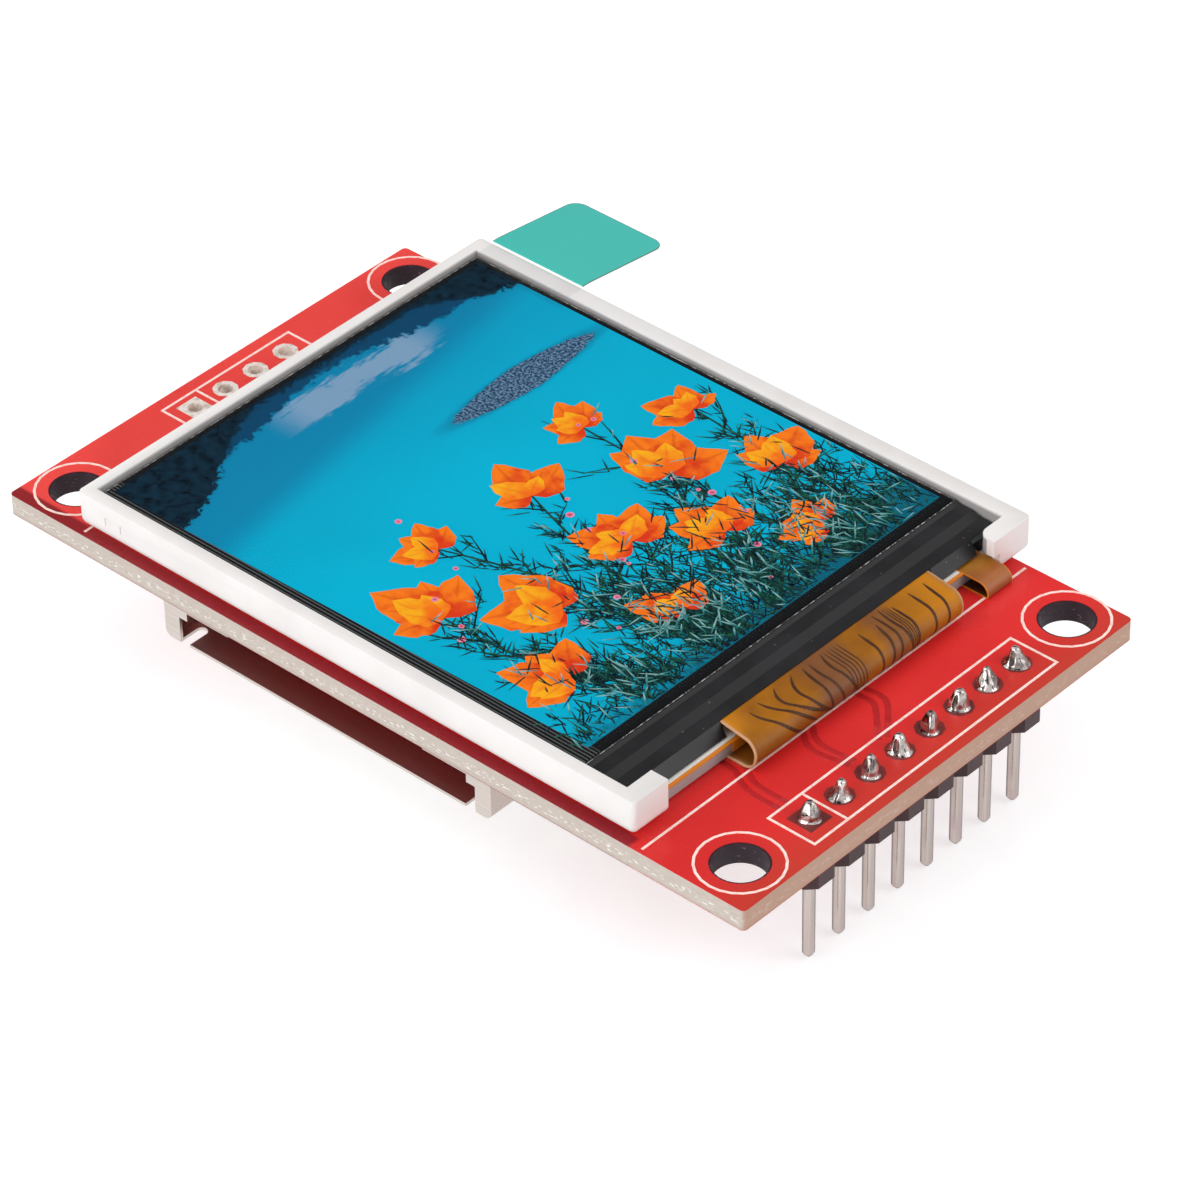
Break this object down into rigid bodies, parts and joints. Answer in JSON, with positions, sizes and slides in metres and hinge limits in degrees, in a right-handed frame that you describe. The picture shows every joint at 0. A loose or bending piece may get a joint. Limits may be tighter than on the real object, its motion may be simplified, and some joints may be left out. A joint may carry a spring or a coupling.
{
  "type": "tft display module",
  "caption": "Colour TFT display module on a red circuit board, with a white-framed screen, a curled amber flex, a downward pin header and a card socket below.",
  "frame": {"origin": "centre of the four mounting holes, on the plane of the board's underside", "axes": "+X along the board towards the pin header, +Y across it away from the card socket's mouth, +Z out of the display"},
  "size_m": [0.0565, 0.042, 0.0125],
  "materials": {
    "glass_epoxy": "matte",
    "red_solder_mask": "gloss",
    "white_ink": "matte",
    "tinned_copper": "satin",
    "black_nylon": "satin",
    "tinned_brass": "satin",
    "solder": "gloss",
    "white_polycarbonate": "satin",
    "clear_adhesive_tape": "matte",
    "silver_reflector_film": "gloss",
    "clear_acrylic": "gloss",
    "frosted_film": "matte",
    "prism_film": "satin",
    "black_tape": "matte",
    "lamp_resin": "satin",
    "polariser_film": "gloss",
    "display_picture": "gloss",
    "display_glass": "gloss",
    "silicon": "gloss",
    "amber_polyimide": "satin",
    "clear_polyester": "gloss",
    "green_polyester": "satin",
    "nickel_plated_steel": "satin",
    "black_liquid_crystal_polymer": "matte",
    "plated_bronze": "satin",
    "black_epoxy": "matte",
    "tinned_leads": "satin",
    "tan_ceramic": "satin",
    "dark_glass_coat": "satin"
  },
  "bodies": {
    "root": {"array_glass": "display_glass", "backlight_flex": "amber_polyimide", "backlight_frame": "white_polycarbonate", "backlight_lamps": "lamp_resin", "backlight_transistor_body": "black_epoxy", "backlight_transistor_leads": "tinned_leads", "board_laminate": "glass_epoxy", "capacitor_bodies": "tan_ceramic", "capacitor_end_caps": "tinned_leads", "card_contacts": "plated_bronze", "card_detect_contact": "plated_bronze", "card_socket_base": "black_liquid_crystal_polymer", "card_socket_pads": "tinned_copper", "card_socket_shell": "nickel_plated_steel", "colour_filter_glass": "display_glass", "component_pads": "tinned_copper", "diffuser_sheet": "frosted_film", "display_flex": "amber_polyimide", "display_mounting_tape": "clear_adhesive_tape", "driver_chip": "silicon", "flex_landing_pads": "tinned_copper", "flex_solder_joints": "solder", "front_polariser": "display_picture", "header_hole_platings": "tinned_copper", "header_housing": "black_nylon", "header_pins": "tinned_brass", "header_solder_joints": "solder", "jumper_pads": "tinned_copper", "lamp_cover_tape": "black_tape", "ledge_tape": "black_tape", "light_guide": "clear_acrylic", "lower_prism_sheet": "prism_film", "printed_marks_back": "white_ink", "printed_marks_front": "white_ink", "pull_tab": "green_polyester", "rear_polariser": "polariser_film", "reflector_sheet": "silver_reflector_film", "resistor_bodies": "dark_glass_coat", "resistor_end_caps": "tinned_leads", "rim_tape": "black_tape", "screen_film": "clear_polyester", "solder_mask_back": "red_solder_mask", "solder_mask_front": "red_solder_mask", "spare_hole_platings": "tinned_copper", "upper_prism_sheet": "prism_film", "voltage_regulator_body": "black_epoxy", "voltage_regulator_leads": "tinned_leads", "write_protect_contact": "plated_bronze"}
  },
  "joints": []
}
